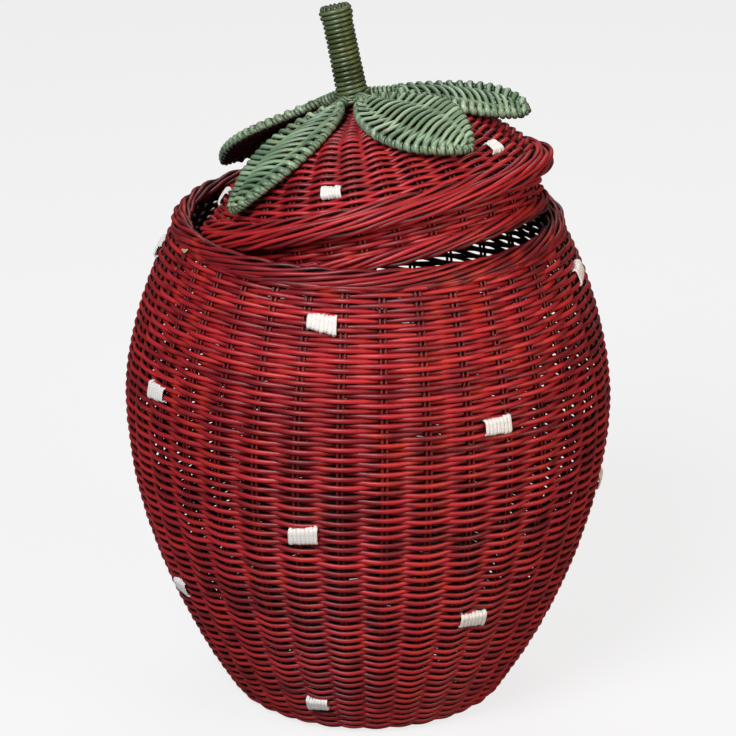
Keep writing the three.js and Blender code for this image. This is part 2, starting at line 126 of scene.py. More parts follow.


# %% [markdown]
# ## Dyed, lacquered cane
# Rattan core is the pith of a climbing palm: pale, porous, with long straight fibres. Dye soaks
# in unevenly, so one cane is darker than its neighbour and each has fine streaks along it, and
# a thin lacquer gives a soft shine. A painted shade darkens each cane along its sides, where it
# meets the next, and on its back. The streaks have to run along every cane, whichever way it
# bends, so the material reads an attribute that the canes are made with: how far along the cane
# a point is, and where it lies round the cane. Real fibres are a few hundredths of a millimetre
# wide, too fine to show, so the streaks are drawn as bundles of them.

# %% Sizes of the pattern on a cane, and the share of each part in its shade
fibre_length = 30 * MM
fibre_width = 0.7 * MM
fibre_relief = 0.14 * MM
blotch_length = 55 * MM
blotches_across_metre = 90
weathering_size = 90 * MM
patch_size = 22 * MM
patch_from, patch_to, patch_strength = 0.52, 0.72, 0.7
blotch_share, tone_share, fibre_share, weathering_share = 0.42, 0.28, 0.34, 0.2
dye_depth = 0.16
# Painted shade: a point this far below a cane's middle line, or lower, takes the full shade
painted_shade_from = -0.2 * MM
lacquer_ior = 1.47
lacquer_roughness = 0.26
shine_below, shine_above = 0.08, 0.12


# %% Cane material
def dyed_cane(name, stops, patches, painted_side_shade, roughness, lacquer, painted_shade_to=1.2 * MM):
    """Streaked cane. Stops go from the deepest dye to the palest, and patches are a second tint.

    Two arguments set the painted shade on a cane's sides and back: how bright it leaves the sides,
    and how far above its middle line a point is clear of it and has its full colour.
    """
    material, tree, shader = new_material(name)
    along = add(tree, "ShaderNodeAttribute", {}, attribute_name="cane").outputs["Vector"]
    tone = add(tree, "ShaderNodeAttribute", {}, attribute_name="tone").outputs["Fac"]
    place = add(tree, "ShaderNodeTexCoord", {}).outputs["Object"]

    stretched = add(tree, "ShaderNodeMapping", {
        "Vector": along,
        "Scale": (1 / fibre_length, 1 / fibre_width, 1 / fibre_width),
    })
    fibres = add(tree, "ShaderNodeTexNoise", {
        "Vector": stretched.outputs[0], "Scale": 1, "Detail": 2, "Roughness": 0.6,
    }).outputs["Fac"]
    drawn_out = add(tree, "ShaderNodeMapping", {
        "Vector": along,
        "Scale": (1 / blotch_length, blotches_across_metre, blotches_across_metre),
    })
    blotches = add(tree, "ShaderNodeTexNoise", {
        "Vector": drawn_out.outputs[0], "Scale": 1, "Detail": 3,
    }).outputs["Fac"]
    weathering = add(tree, "ShaderNodeTexNoise", {
        "Vector": place, "Scale": 1 / weathering_size, "Detail": 1,
    }).outputs["Fac"]

    dye = add(tree, "ShaderNodeMath", {0: blotches, 1: blotch_share}, operation="MULTIPLY")
    for part, share in [
        (tone, tone_share), (fibres, fibre_share), (weathering, weathering_share),
    ]:
        dye = add(tree, "ShaderNodeMath", {0: part, 1: share, 2: dye.outputs[0]},
                  operation="MULTIPLY_ADD")
    dye = add(tree, "ShaderNodeMath", {0: dye.outputs[0], 1: dye_depth}, operation="SUBTRACT")
    dyed = ramp(tree, dye.outputs[0], stops)
    patch = add(tree, "ShaderNodeTexNoise", {
        "Vector": place, "Scale": 1 / patch_size, "Detail": 2, "Roughness": 0.6,
    }).outputs["Fac"]
    patch = add(tree, "ShaderNodeMapRange", {
        "Value": patch, "From Min": patch_from, "From Max": patch_to, "To Max": patch_strength,
    }).outputs["Result"]
    colour = add(tree, "ShaderNodeMix", {0: patch, 6: dyed, 7: linear(patches)}, data_type="RGBA")
    # Painted shade: the less a point stands out on the side of its cane that shows, the darker it
    # is painted, so the sides and back are dark and the crown keeps its colour
    proud = add(tree, "ShaderNodeSeparateXYZ", {0: along}).outputs["Z"]
    painted_shade = add(tree, "ShaderNodeMapRange", {
        "Value": proud, "From Min": painted_shade_from, "From Max": painted_shade_to, "To Min": painted_side_shade,
    }).outputs["Result"]
    colour = add(tree, "ShaderNodeVectorMath", {0: colour.outputs[2], "Scale": painted_shade},
                 operation="SCALE")
    tree.links.new(colour.outputs["Vector"], shader.inputs["Base Color"])

    shine = add(tree, "ShaderNodeMapRange", {
        "Value": fibres, "To Min": roughness - shine_below, "To Max": roughness + shine_above,
    })
    tree.links.new(shine.outputs["Result"], shader.inputs["Roughness"])
    relief = add(tree, "ShaderNodeBump", {
        "Height": fibres, "Strength": 0.7, "Distance": fibre_relief,
    })
    tree.links.new(relief.outputs[0], shader.inputs["Normal"])
    shader.inputs["IOR"].default_value = lacquer_ior
    shader.inputs["Coat Weight"].default_value = lacquer
    shader.inputs["Coat Roughness"].default_value = lacquer_roughness
    return material


# %% The dyes: red for the basket, leaf green, and a deeper green for the stem
# Each dye also sets its painted shade: how bright the sides of its canes are left, and for the leaf
# green how far up the cane it reaches
red_cane = dyed_cane(
    "cane_dyed_strawberry_red",
    [(0.2, "#56050c"), (0.42, "#901019"), (0.6, "#b81f27"), (0.8, "#d43c36")],
    patches="#c02c1d", painted_side_shade=0.08, roughness=0.48, lacquer=0.16)
green_cane = dyed_cane(
    "cane_dyed_leaf_green",
    [(0.2, "#374f38"), (0.42, "#6f8d6c"), (0.6, "#9fbd98"), (0.8, "#d6e6c5")],
    patches="#96aa7c", painted_side_shade=0.0, roughness=0.4, lacquer=0.3, painted_shade_to=1.5 * MM)
stem_stops = [(0.2, "#232f18"), (0.42, "#3c4b2a"), (0.6, "#586944"), (0.8, "#86946a")]
stem_cane = dyed_cane("cane_dyed_stem_green", stem_stops, patches="#565a1c",
                      painted_side_shade=0.06, roughness=0.34, lacquer=0.4)
# A sawn end soaks its lacquer up and stays matt.
sawn_end = dyed_cane("sawn_end_dyed_stem_green", stem_stops, patches="#565a1c",
                     painted_side_shade=0.06, roughness=0.85, lacquer=0.0)
print("dyed canes:", [cane.name for cane in (red_cane, green_cane, stem_cane, sawn_end)])

# %% [markdown]
# ## Thread and plain wood
# The seeds are spun cotton: matt, with soft plies along the thread and a little fuzz, which sheen
# gives at its edges. The pole in the stem is peeled rattan, with its grain along it. A single
# noise, drawn out along the plies or the grain, is enough to colour such a plain material.

# %% A matt material with a grain
def grained(name, grains, detail, stops, roughness, attribute=None):
    """Coloured by one noise, with so many grains to the metre each way."""
    material, tree, shader = new_material(name)
    if attribute:
        place = add(tree, "ShaderNodeAttribute", {}, attribute_name=attribute).outputs["Vector"]
    else:
        place = add(tree, "ShaderNodeTexCoord", {}).outputs["Object"]
    drawn_out = add(tree, "ShaderNodeMapping", {"Vector": place, "Scale": grains})
    grain = add(tree, "ShaderNodeTexNoise", {
        "Vector": drawn_out.outputs[0], "Scale": 1, "Detail": detail,
    }).outputs["Fac"]
    tree.links.new(ramp(tree, grain, stops), shader.inputs["Base Color"])
    shader.inputs["Roughness"].default_value = roughness
    return material, tree, shader, grain


# %% Thread of the seeds
plies_along, plies_across = 900, 2600
ply_relief = 0.15 * MM
thread, tree, shader, plies = grained(
    "soft_cotton_thread", (plies_along, plies_across, plies_across), 2,
    [(0.3, "#cfcfc6"), (0.5, "#e8e8e2"), (0.7, "#f4f4f0")], roughness=0.85, attribute="cane")
relief = add(tree, "ShaderNodeBump", {"Height": plies, "Strength": 0.6, "Distance": ply_relief})
tree.links.new(relief.outputs[0], shader.inputs["Normal"])
shader.inputs["Sheen Weight"].default_value = 0.3

# %% The plain pole in the stem
grain_across, grain_along = 900, 30
peeled_pole = grained(
    "peeled_rattan_pole", (grain_across, grain_across, grain_along), 3,
    [(0.3, "#8d6d45"), (0.5, "#b08b5c"), (0.7, "#c7a677")], roughness=0.6)[0]
pole_slots = nodes["stem_core"].data.materials
pole_slots.clear()
pole_slots.append(peeled_pole)
print("materials:", [m.name for m in bpy.data.materials])

# %% [markdown]
# ## Laying a cane
# Blender can bevel a curve into a tube, but the weave has more than a hundred metres of cane,
# and its streaks have to follow each one. So a cane is a flat grid, one column for each side and
# one row for each step, which is rolled into a tube along its path. The same roll gives every
# corner its place along and around the cane.

# %% Rolling a grid into a cane
def new_canes():
    """A bmesh for canes, with the layers that the cane material reads."""
    bm = bmesh.new()
    bm.verts.layers.float_vector.new("cane")
    bm.verts.layers.float.new("tone")
    return bm


def unit(vectors):
    """Vectors at a length of one."""
    return vectors / np.linalg.norm(vectors, axis=-1, keepdims=True)


def run_along(path):
    """Length along a path to each of its points."""
    return np.concatenate([[0], np.cumsum(np.linalg.norm(np.diff(path, axis=0), axis=1))])


def lay_cane(bm, path, outward, width, depth=None, sides=8, tone=0.5, closed=False, faced=1):
    """Rolls a grid into a cane. Path and outward are points and directions in millimetres.

    Faced is -1 where the side that shows is the one away from outward; it keeps the painted
    shade of the cane material on the side that doesn't show.
    """
    path = np.asarray(path, float)
    outward = np.broadcast_to(np.asarray(outward, float), path.shape)
    steps = len(path)
    if closed:
        ahead = np.roll(path[:-1], -1, axis=0) - np.roll(path[:-1], 1, axis=0)
        ahead = np.vstack([ahead, ahead[:1]])
    else:
        ahead = np.gradient(path, axis=0)
    ahead = unit(ahead)
    side = unit(np.cross(ahead, outward))
    out = np.cross(side, ahead)
    width = np.broadcast_to(width, (steps,))[:, None, None] / 2
    depth = width if depth is None else np.broadcast_to(depth, (steps,))[:, None, None] / 2
    around = np.linspace(0, 2 * math.pi, sides + 1)[None, :, None]
    across, proud = np.cos(around) * width, np.sin(around) * depth
    places = path[:, None] + across * side[:, None] + proud * out[:, None]
    run = np.broadcast_to(run_along(path)[:, None, None], across.shape)
    faced = np.broadcast_to(faced, (steps,))[:, None, None]
    # The third number is how far a point stands out on the side that shows, which the cane material
    # turns into painted shade
    streaks = np.concatenate([run, across, proud * faced], axis=2)
    tones = np.broadcast_to(np.broadcast_to(tone, (steps,))[:, None], (steps, sides + 1))

    grid = bmesh.ops.create_grid(bm, x_segments=sides, y_segments=steps - 1, size=1)
    cane_layer = bm.verts.layers.float_vector["cane"]
    tone_layer = bm.verts.layers.float["tone"]
    corners = zip(
        grid["verts"],
        (places * MM).reshape(-1, 3).tolist(),
        (streaks * MM).reshape(-1, 3).tolist(),
        tones.reshape(-1).tolist(),
    )
    for vert, place, streak, shade in corners:
        vert.co = place
        vert[cane_layer] = streak
        vert[tone_layer] = shade


# %% Making the canes one piece of the object
seam_reach = 0.0002 * MM
triangles_of = {}


def finish_canes(bm, name, body, material, stands_for=()):
    """Closes the canes' seams and ends. Stands_for names the solids that the piece replaces."""
    bmesh.ops.remove_doubles(bm, verts=bm.verts, dist=seam_reach)
    bmesh.ops.holes_fill(bm, edges=[e for e in bm.edges if e.is_boundary], sides=0)
    bmesh.ops.recalc_face_normals(bm, faces=bm.faces)
    for face in bm.faces:
        face.smooth = len(face.verts) == 4
    mesh = bpy.data.meshes.new(name)
    bm.to_mesh(mesh)
    bm.free()
    mesh.materials.append(material)
    piece = bpy.data.objects.new(name, mesh)
    scene.collection.objects.link(piece)
    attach(piece, body)
    if stands_for:
        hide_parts(*stands_for)
    triangles_of[name] = sum(len(p.vertices) - 2 for p in mesh.polygons)
    print(f"{name}: {triangles_of[name]} triangles")


# %% [markdown]
# ## The shape of the basket
# The basket is round, so its form is one outline turned about the upright axis. The outline
# runs from the middle of the base, round the foot and up the belly to the mouth. Everything
# woven is placed on it by three numbers: how far along the outline, how far round, and how far
# in or out of the wall.

# %% Outline of the basket, in millimetres
belly_radius = 175
belly_height = 222
foot_radius = 99.5
lower_fullness = 1.83
shoulder_radius = 140.6
shoulder_height = 350
upper_fullness = 1.88
foot_turn = 10
wall_top = 338.2
rim_height = 353.5


def basket_radius(height):
    """Radius of the wall at a height, a bow below the belly and another above it."""
    fall = np.clip((belly_height - height) / belly_height, 0, 1) ** lower_fullness
    rise = np.clip((height - belly_height) / (shoulder_height - belly_height), 0, 2)
    low = belly_radius - (belly_radius - foot_radius) * fall
    high = belly_radius - (belly_radius - shoulder_radius) * rise ** upper_fullness
    return np.where(height < belly_height, low, high)


# %% Reading an outline
class Outline:
    """A profile of radius and height, read by the length along it."""

    def __init__(self, radius, height):
        self.radius, self.height = np.asarray(radius, float), np.asarray(height, float)
        steps = np.hypot(np.diff(self.radius), np.diff(self.height))
        self.run = np.concatenate([[0], np.cumsum(steps)])
        slope = unit(np.stack([np.gradient(self.radius), np.gradient(self.height)], axis=1))
        self.out = np.stack([slope[:, 1], -slope[:, 0]], axis=1)
        self.length = self.run[-1]

    def at(self, run, turn, off):
        """Points and outward directions; turn in radians, run and off in millimetres."""
        run, turn, off = np.broadcast_arrays(run, turn, off)
        read = [np.interp(run, self.run, values) for values in
                (self.radius, self.height, self.out[:, 0], self.out[:, 1])]
        radius, height, out_flat, out_up = read
        outward = np.stack([out_flat * np.cos(turn), out_flat * np.sin(turn), out_up], axis=-1)
        point = np.stack([radius * np.cos(turn), radius * np.sin(turn), height], axis=-1)
        return point + off[..., None] * outward, outward

    def run_at_height(self, height):
        """Length along the outline to a height on the wall."""
        start = np.argmax(self.height > 0.5)
        return np.interp(height, self.height[start:], self.run[start:])


# %% The basket's outline, with a rounded foot
foot_slope = (basket_radius(1.0) - basket_radius(0.0)).item()
foot_angle = math.atan2(1, foot_slope)
bend = np.linspace(0, foot_angle, 20)
bend_height = foot_turn * (1 - math.cos(foot_angle))
bend_start = basket_radius(bend_height).item() - foot_turn * math.sin(foot_angle)
flat_radii = np.linspace(0, bend_start, 60)[:-1]
wall_heights = np.linspace(bend_height, rim_height, 300)[1:]
basket = Outline(
    np.concatenate([flat_radii, bend_start + foot_turn * np.sin(bend),
                    basket_radius(wall_heights)]),
    np.concatenate([0 * flat_radii, foot_turn * (1 - np.cos(bend)), wall_heights]),
)
print(f"outline {basket.length:.0f} mm long, foot bends from {bend_start:.1f} mm")

# %% [markdown]
# ## Stakes and weavers of the wall
# The wall is plain randing: one long weaver goes in front of a stake, behind the next, and on
# round. With an odd number of stakes it passes each one on the other side in the next row, so a
# single cane makes the whole checkered wall as one spiral. The stakes are pairs of thinner cane.
# A cosine wave in and out of the wall is close to how a springy cane lies.

# %% Smooth wandering and smooth lines
rng = np.random.default_rng(35)


def gentle(length, knots, size):
    """A smooth random wander with about so many knots."""
    xs = np.linspace(0, knots, length)
    values = rng.normal(0, size, knots + 4)
    i = np.floor(xs).astype(int)
    t = xs - i
    t = t * t * (3 - 2 * t)
    return values[i] * (1 - t) + values[i + 1] * t


def smooth_line(points, between):
    """Points on a smooth curve through the given ones."""
    padded = np.vstack([2 * points[:1] - points[1:2], points, 2 * points[-1:] - points[-2:-1]])
    before, start, end, after = (padded[i:len(padded) - 3 + i, None] for i in range(4))
    t = (np.arange(between) / between)[None, :, None]
    curve = start + 0.5 * t * (end - before + t * (
        2 * before - 5 * start + 4 * end - after + t * (3 * (start - end) + after - before)))
    return np.vstack([curve.reshape(-1, points.shape[1]), points[-1:]])


# %% Randing round an outline
steps_per_stake = 6
full_swing_spacing = 12
front_stake = math.radians(-90 + 3.8)
swing_knots, swing_wander = 9, 0.05
row_knots, row_wander = 12, 0.06


def shade_lengths(count, lengths, darkest, palest):
    """A shade for each step of a path that is made of so many lengths of cane."""
    return np.repeat(rng.uniform(darkest, palest, lengths), count // lengths + 1)[:count]


def rand_weave(outline, stakes, first, last, pitch, middle, swing, joins,
               front=front_stake, sag=None, ease=np.ones_like):
    """One weaver's path in front of a stake and behind the next, and the shade of each length.

    Joins is the number of lengths in a round. Sag and ease lower the rows and calm the swing.
    """
    rounds = (last - first) / pitch
    count = int(rounds * stakes * steps_per_stake)
    turn = front + np.arange(count) * 2 * math.pi / (stakes * steps_per_stake)
    run = first + (turn - front) * pitch / (2 * math.pi)
    in_out = np.cos((turn - front) * stakes / 2)
    spacing = np.interp(run, outline.run, outline.radius) * 2 * math.pi / stakes
    reach = swing * np.minimum(1, spacing / full_swing_spacing) * ease(run)
    off = middle + reach * (in_out + gentle(count, int(rounds * swing_knots) + 2, swing_wander))
    lie = run + gentle(count, int(rounds * row_knots) + 2, pitch * row_wander)
    if sag:
        lie = lie - sag(run, turn)
    path, outward = outline.at(lie, turn, off)
    lengths = int(rounds * joins) + 2
    shades = np.repeat(rng.uniform(0, 1, lengths), count // (lengths - 1) + 1)[:count]
    return path, outward, shades


def in_world(path, outward):
    """The place of the basket's own pieces, which are worked out where they stand."""
    return path, outward


def lay_stakes(bm, outline, runs, stakes, half_gap, off, width, place=in_world,
               front=front_stake, shade_range=None):
    """Pairs of canes up an outline. Half_gap is the angle from the middle of a pair to each."""
    for i in range(stakes):
        for beside in (-half_gap, half_gap):
            line = outline.at(runs, front + 2 * math.pi * i / stakes + beside, off)
            shade = rng.uniform(*shade_range) if shade_range else 0.5
            lay_cane(bm, *place(*line), width, sides=6, tone=shade)


# %% Weave of the wall
stake_pairs = 35
stake_width = 2.3
pair_spacing = 3.3
weaver_width, weaver_depth = 3.8, 3.0
row_pitch = 3.42
weaver_swing = 2.6
girth_knots, girth_wander = 300, 0.04
below_skin = 0.2
wall_middle = -(weaver_swing + weaver_depth / 2 + below_skin)
rows_from_height, rows_to_height, rows_under_foot = 2.5, 352.6, 10
first_row = basket.run_at_height(rows_from_height) - rows_under_foot
last_row = basket.run_at_height(rows_to_height)
foot_swing, full_swing_height = 0.35, 40
droop_most = 1.2
droop_top, droop_fade, droop_start = 215, 130, 60
droop_by_column = rng.uniform(0.3, 1.0, stake_pairs)


def droop(run, turn):
    """How far the rows sag where they cross a stake, low on the wall."""
    low = np.clip((basket.run_at_height(droop_top) - run) / droop_fade, 0, 1)
    low = low * np.clip((run - first_row) / droop_start, 0, 1)
    column = (turn - front_stake) * stake_pairs / (2 * math.pi)
    dip = 0.5 + 0.5 * np.cos(2 * math.pi * column)
    depth = droop_by_column[np.round(column).astype(int) % stake_pairs]
    return droop_most * low * dip * depth


def foot_ease(run):
    """At the foot the stakes are still close and the rows lie nearly flat."""
    return np.interp(run, [first_row, basket.run_at_height(full_swing_height)], [foot_swing, 1])


path, outward, shades = rand_weave(
    basket, stake_pairs, first_row, last_row, row_pitch, wall_middle, weaver_swing, joins=7,
    sag=droop, ease=foot_ease)
girth = 1 + gentle(len(path), girth_knots, girth_wander)
upper_rows = (basket.run_at_height(wall_top) - first_row) / (last_row - first_row)
bands = {
    "wall_weave_foot": (0, 0.33, ["wall_shell"]),
    "wall_weave_belly": (0.33, 0.66, []),
    "wall_weave_shoulder": (0.66, upper_rows, []),
    "wall_weave_top": (upper_rows, 1, ["upper_wale"]),
}
for name, (start, end, stands_for) in bands.items():
    bm = new_canes()
    part = slice(int(start * len(path)), int(end * len(path)) + 1)
    lay_cane(bm, path[part], outward[part], weaver_width * girth[part],
             weaver_depth * girth[part], tone=shades[part])
    finish_canes(bm, name, "basket", red_cane, stands_for)
print(f"{(last_row - first_row) / row_pitch:.0f} rows, {run_along(path)[-1] * MM:.0f} m of cane")

# %% Stakes of the wall
bm = new_canes()
stake_runs = np.linspace(first_row - 6, basket.length, 70)
stake_radii = np.interp(stake_runs, basket.run, basket.radius) + wall_middle
# The stakes get deeper shades of dye than the weavers, a painted shade for their place behind the
# weave
lay_stakes(bm, basket, stake_runs, stake_pairs, 0.5 * pair_spacing / stake_radii, wall_middle,
           stake_width, shade_range=(-0.3, 0.3))
finish_canes(bm, "wall_stakes", "basket", red_cane)

# %% [markdown]
# ## The base
# A round base starts as a cross of sticks, spread like the spokes of a wheel, with a cane woven
# flat round them. The same randing as on the wall makes it, on the flat start of the outline.

# %% Weave of the base
base_sticks = 17
stick_width = 2.2
base_weaver = 2.5
base_pitch = 2.8
base_middle = -4.1
base_swing = (stick_width + base_weaver) / 2 - 0.2
cross_radius = 17
bm = new_canes()
path, outward, _ = rand_weave(
    basket, base_sticks, cross_radius, first_row - 1, base_pitch, base_middle, base_swing,
    joins=10)
lay_cane(bm, path, outward, base_weaver, sides=6, tone=0.45)
finish_canes(bm, "base_weave", "basket", red_cane, ["base_disc"])

# %% Sticks of the base, and the cross in its middle
half_stick_gap, gap_radius = 1.3, 8
cross_sticks_each_side = 4
cross_spacing, cross_stick_width = 2.6, 2.4
cross_lift = cross_stick_width / 2
shortest_half, past_the_cross = 5, 3
bm = new_canes()
stick_runs = np.linspace(4, first_row + 2, 12)
lay_stakes(bm, basket, stick_runs, base_sticks, half_stick_gap / np.maximum(stick_runs, gap_radius),
           base_middle, stick_width, shade_range=(0.3, 0.7))
for i in range(-cross_sticks_each_side, cross_sticks_each_side + 1):
    aside = i * cross_spacing
    half = math.sqrt(max(cross_radius ** 2 - aside ** 2, shortest_half ** 2)) + past_the_cross
    line = np.linspace(-half, half, 8)
    for across in (True, False):
        height = -base_middle + (cross_lift if across else -cross_lift)
        flat, level = np.full(8, aside), np.full(8, height)
        points = [line, flat, level] if across else [flat, line, level]
        lay_cane(bm, np.stack(points, axis=1), (0, 0, 1), cross_stick_width, sides=6,
                 tone=rng.uniform(0.3, 0.6))
finish_canes(bm, "base_sticks", "basket", red_cane)

# %% [markdown]
# ## Rolled borders
# At the mouth the stakes are bent over to the right, laid on the ones before them, and tucked
# away inside. Each shows as a long strand that climbs slowly over the border. So a border is made
# of one strand for each pair of stakes: while it passes six to nine stakes it also crosses the
# border's section, which is a short line of radius and height from outside, over the top, to
# the inside. On the way it goes over its neighbours and under them by turns, so it swells out of
# the border and sinks into it again, on a beat of two stakes at the mouth and of three on the
# lid. Plain rings of cane fill the middle, where the strands would leave a hollow.

# %% Laying a border strand by strand
strand_steps = 44
over_level = 0.65
strand_wander, strand_drift = 0.12, 0.3
strand_flatness, sunk_width = 0.9, 0.86


def lay_border(bm, place, section, strands, strand_spacing, strand_width, first, beat=3,
               darkest=-0.1, palest=0.85, swell=2.9):
    """Strands that cross the section as they go round. Beat is in stakes, over and under."""
    line = smooth_line(np.array(section, float), 6)
    run = np.concatenate([[0], np.cumsum(np.hypot(*np.diff(line, axis=0).T))])
    slope = unit(np.gradient(line, axis=0))
    span = run[-1] / strand_spacing * 2 * math.pi / strands
    share = np.linspace(0, 1, strand_steps)
    for strand in range(strands):
        along = share * run[-1]
        turn = first + 2 * math.pi * (strand + rng.uniform(-0.1, 0.1)) / strands + span * share
        passed = along / strand_spacing
        over = np.sin(math.pi * (passed / beat + 0.1 * rng.uniform(-1, 1))) ** 2
        off = swell * (over - over_level) + gentle(strand_steps, 6, strand_wander)
        lie = np.clip(along + gentle(strand_steps, 5, strand_drift), 0, run[-1])
        radius, height = (np.interp(lie, run, values) for values in line.T)
        fall, rise = (np.interp(lie, run, values) for values in slope.T)
        radius, height = radius + off * rise, height - off * fall
        flat = np.stack([np.cos(turn), np.sin(turn)], axis=1)
        path = np.column_stack([flat * radius[:, None], height])
        outward = np.column_stack([flat * rise[:, None], -fall])
        width = strand_width * rng.uniform(0.94, 1.1) * (sunk_width + (1 - sunk_width) * over)
        lay_cane(bm, *place(path, outward), width, width * strand_flatness,
                 tone=rng.uniform(darkest, palest))


def lay_rings(bm, place, rings):
    """Plain rings of cane, each given as radius, height and width."""
    around = np.linspace(0, 2 * math.pi, 181)
    radial = np.stack([np.cos(around), np.sin(around), 0 * around], axis=1)
    for radius, height, width in rings:
        path = radius * radial + (0, 0, height)
        path[-1] = path[0]
        lay_cane(bm, *place(path, radial), width, tone=0.2, closed=True)


# %% Border of the mouth
mouth_section = [
    (134.6, 346.8), (136.6, 349.8), (138.1, 353.0), (137.5, 356.8), (135.0, 360.2), (131.8, 361.8),
    (128.7, 360.9), (127.3, 358.0), (128.0, 355.0), (129.8, 352.4),
]
bm = new_canes()
lay_border(bm, in_world, mouth_section, stake_pairs, strand_spacing=3.6, strand_width=3.5,
           first=front_stake, beat=2, darkest=-0.5, palest=0.45, swell=1.9)
lay_rings(bm, in_world, [(132.2, 356.2, 6.6), (136.2, 351.2, 4.8), (131.8, 352.4, 4.4)])
finish_canes(bm, "rim_border_strands", "basket", red_cane, ["rim_border"])

# %% [markdown]
# ## A cut end
# One cane of the border was snipped off at the left, and its pale splintered end stands out. It
# is four short splinters that fan out a little, in rattan that the dye never reached.

# %% A cut end in the border
pores_per_metre = 2200
raw_end = grained("cut_undyed_rattan_end", (pores_per_metre,) * 3, 2,
                  [(0.35, "#8f7444"), (0.5, "#cdb684"), (0.65, "#e6d7ae")], roughness=0.75)[0]
splinters, splinter_steps = 4, 6
end_turn, splinter_turn = math.radians(-90 - 69), 0.085
bm = new_canes()
for i in range(splinters):
    turn = end_turn + np.linspace(0, splinter_turn, splinter_steps) + 0.01 * i
    height = np.linspace(350.0, 351.6 + i, splinter_steps)
    radius = np.linspace(138.4, 140.6 + rng.uniform(0, 0.9), splinter_steps)
    path = np.stack([radius * np.cos(turn), radius * np.sin(turn), height], axis=1)
    lay_cane(bm, path, unit(path * (1, 1, 0)), np.linspace(2.1, 1.2, splinter_steps), sides=6)
finish_canes(bm, "border_cut_end", "basket", raw_end)

# %% [markdown]
# ## The lid's own frame
# The lid sits askew in the mouth, as it was put down. All of its pieces are worked out as if it
# lay level, with its edge at height nought, and then tipped into place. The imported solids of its
# two borders tell where it lies: the line between their middles is the axis of the lid.

# %% Where the lid lies
def middle_of(node):
    """Middle of a solid's points, in millimetres."""
    points = [v.co for v in nodes[node].data.vertices]
    return sum(points, Vector()) / len(points) / MM


edge_middle = middle_of("lid_edge_rope")
lid_axis = (edge_middle - middle_of("lid_flange_border")).normalized()
lid_turn = np.array(Vector((0, 0, 1)).rotation_difference(lid_axis).to_matrix())
lid_seat = np.array(edge_middle)


def on_lid(path, outward):
    """Points and directions of the level lid, tipped into its place."""
    outward = np.broadcast_to(np.asarray(outward, float), np.shape(path))
    return path @ lid_turn.T + lid_seat, outward @ lid_turn.T


print(f"lid tipped {math.degrees(lid_axis.angle(Vector((0, 0, 1)))):.1f} degrees")

# %% [markdown]
# ## Dome, edge and neck of the lid
# The dome is randed like the wall, over 29 pairs of stakes that run from the stem to the edge.
# The stem's binding pulls its crown down, so inside the shoulder it is a shallow cone, flat
# where the stem stands. The weaver stops near the middle, where the stakes come too close to be
# woven, and winds on flat over them.
# Below the rolled edge a recessed neck drops into the mouth, with a second rolled border at its
# foot.

# %% Outline of the dome, in millimetres above the edge
dome_radius = 122
dome_height = 74.6
dome_flank = 1.54
dome_crown = 1.46
edge_tube, edge_overlap = 5, 1.5
cone_edge, cone_edge_height = 67, 52.8
cone_slope = math.radians(14.5)
flat_radius = 12


def round_dome(distance):
    """Height of the dome at a distance from its middle, before the crown is pulled down."""
    share = np.clip(distance / dome_radius, 0, 1)
    return dome_height * (1 - share ** dome_flank) ** (1 / dome_crown)


def dome_skin(distance):
    """Height of the dome with its crown pulled down to a cone with a flat middle."""
    inside = cone_edge - np.maximum(distance, flat_radius)
    return np.minimum(round_dome(distance), cone_edge_height + inside * math.tan(cone_slope))


dome_angles = np.linspace(math.pi / 2, 0.0, 200)
dome_reach = dome_radius * np.cos(dome_angles)
dome_heights = dome_skin(dome_reach)
keep = dome_heights > edge_tube - edge_overlap
dome = Outline(dome_reach[keep][::-1], dome_heights[keep][::-1])
print(f"dome outline {dome.length:.0f} mm long")

# %% Weave of the dome
lid_stakes = 29
lid_weaver, lid_weaver_depth = 3.25, 2.9
lid_pitch = 2.92
lid_front_stake = math.radians(-90 + 6.4)
lid_swing = 2.6
lid_middle = -(lid_swing + lid_weaver_depth / 2)
crown_start = dome.length - 15
bm = new_canes()
path, outward, shades = rand_weave(
    dome, lid_stakes, 0, crown_start, lid_pitch, lid_middle, lid_swing, joins=7,
    front=lid_front_stake)
lay_cane(bm, *on_lid(path, outward), lid_weaver, lid_weaver_depth, tone=shades)
finish_canes(bm, "lid_dome_weave", "lid", red_cane, ["lid_dome"])

# %% Flat rows of the crown, and the dome's stakes
crown_end = dome.length - 7
crown_rise = 1.2
lid_stake_width = 2.1
lid_pair_spacing, closest_share = 3.4, 0.4
bm = new_canes()
path, outward, shades = rand_weave(
    dome, lid_stakes, crown_start + lid_pitch, crown_end, lid_pitch, lid_middle + crown_rise,
    swing=0.0, joins=3, front=lid_front_stake)
lay_cane(bm, *on_lid(path, outward), lid_weaver, sides=6, tone=shades)
stake_runs = np.linspace(0, dome.length - 14, 34)
stake_radii = np.interp(stake_runs, dome.run, dome.radius)
spacing = np.minimum(lid_pair_spacing, stake_radii * 2 * math.pi / lid_stakes * closest_share)
# The stakes get deeper shades of dye than the weaver, a painted shade for their place behind the
# weave
lay_stakes(bm, dome, stake_runs, lid_stakes, 0.5 * spacing / stake_radii, lid_middle,
           np.minimum(lid_stake_width, spacing), on_lid, lid_front_stake, shade_range=(-0.3, 0.3))
finish_canes(bm, "lid_dome_stakes", "lid", red_cane)

# %% Borders at the lid's edge and at the foot of its neck
edge_section = [
    (119.4, -1.8), (121.2, -3.4), (124.2, -3.3), (126.4, -2.0), (127.3, 0.4), (126.4, 3.6),
    (124.2, 6.3), (121.8, 8.6), (119.6, 10.3), (117.2, 10.8), (115.6, 9.8),
]
bm = new_canes()
